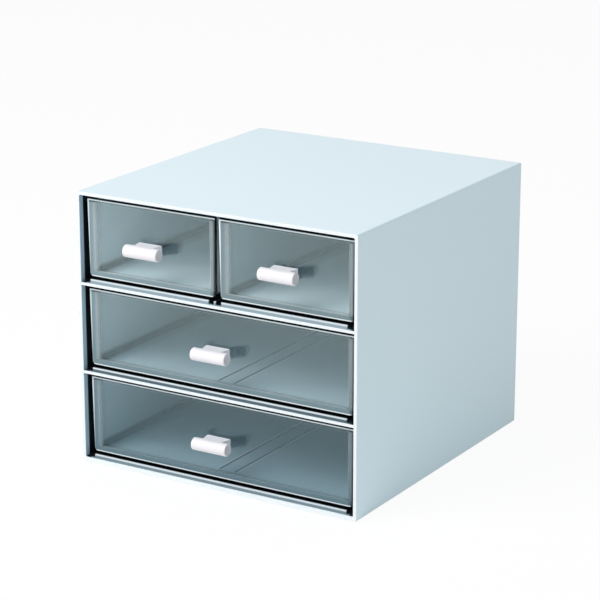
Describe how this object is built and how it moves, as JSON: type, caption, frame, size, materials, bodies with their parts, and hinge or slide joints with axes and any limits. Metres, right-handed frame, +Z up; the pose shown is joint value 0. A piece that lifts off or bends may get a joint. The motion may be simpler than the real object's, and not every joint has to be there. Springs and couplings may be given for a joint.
{
  "type": "desktop drawer cabinet",
  "caption": "Small desktop cabinet: a pale glossy plastic case with clear grey drawers, half-width ones over full-width ones, each with a white bar handle.",
  "frame": {"origin": "middle of the footprint of case and handles together, on the surface that the foot pads stand on", "axes": "+X to the right as seen from the front, +Y to the back, +Z up; the drawers open towards -Y"},
  "size_m": [0.227, 0.247, 0.2006],
  "materials": {
    "case_plastic": "smooth moulded, pale ice blue",
    "drawer_clear_grey": "transparent smoke grey, polished",
    "handle_white": "smooth moulded, white",
    "screw_steel": "zinc plated",
    "foot_rubber": "matt, pale grey"
  },
  "bodies": {
    "case": {"case_shell": "case_plastic", "lower_shelf": "case_plastic", "upper_shelf": "case_plastic", "back_panel": "case_plastic", "foot_pads": "foot_rubber"},
    "upper_left_drawer": {"upper_left_drawer_tray": "drawer_clear_grey", "upper_left_handle_bar": "handle_white", "upper_left_handle_bracket": "handle_white", "upper_left_handle_screw": "screw_steel"},
    "upper_right_drawer": {"upper_right_drawer_tray": "drawer_clear_grey", "upper_right_handle_bar": "handle_white", "upper_right_handle_bracket": "handle_white", "upper_right_handle_screw": "screw_steel"},
    "middle_drawer": {"middle_drawer_tray": "drawer_clear_grey", "middle_handle_bar": "handle_white", "middle_handle_bracket": "handle_white", "middle_handle_screw": "screw_steel"},
    "bottom_drawer": {"bottom_drawer_tray": "drawer_clear_grey", "bottom_handle_bar": "handle_white", "bottom_handle_bracket": "handle_white", "bottom_handle_screw": "screw_steel"}
  },
  "joints": [
    {"name": "upper_left_drawer_slide", "type": "slide", "parent": "case", "child": "upper_left_drawer", "axis": [0, -1, 0], "range_m": [0, 0.17]},
    {"name": "upper_right_drawer_slide", "type": "slide", "parent": "case", "child": "upper_right_drawer", "axis": [0, -1, 0], "range_m": [0, 0.17]},
    {"name": "middle_drawer_slide", "type": "slide", "parent": "case", "child": "middle_drawer", "axis": [0, -1, 0], "range_m": [0, 0.17]},
    {"name": "bottom_drawer_slide", "type": "slide", "parent": "case", "child": "bottom_drawer", "axis": [0, -1, 0], "range_m": [0, 0.17]}
  ]
}
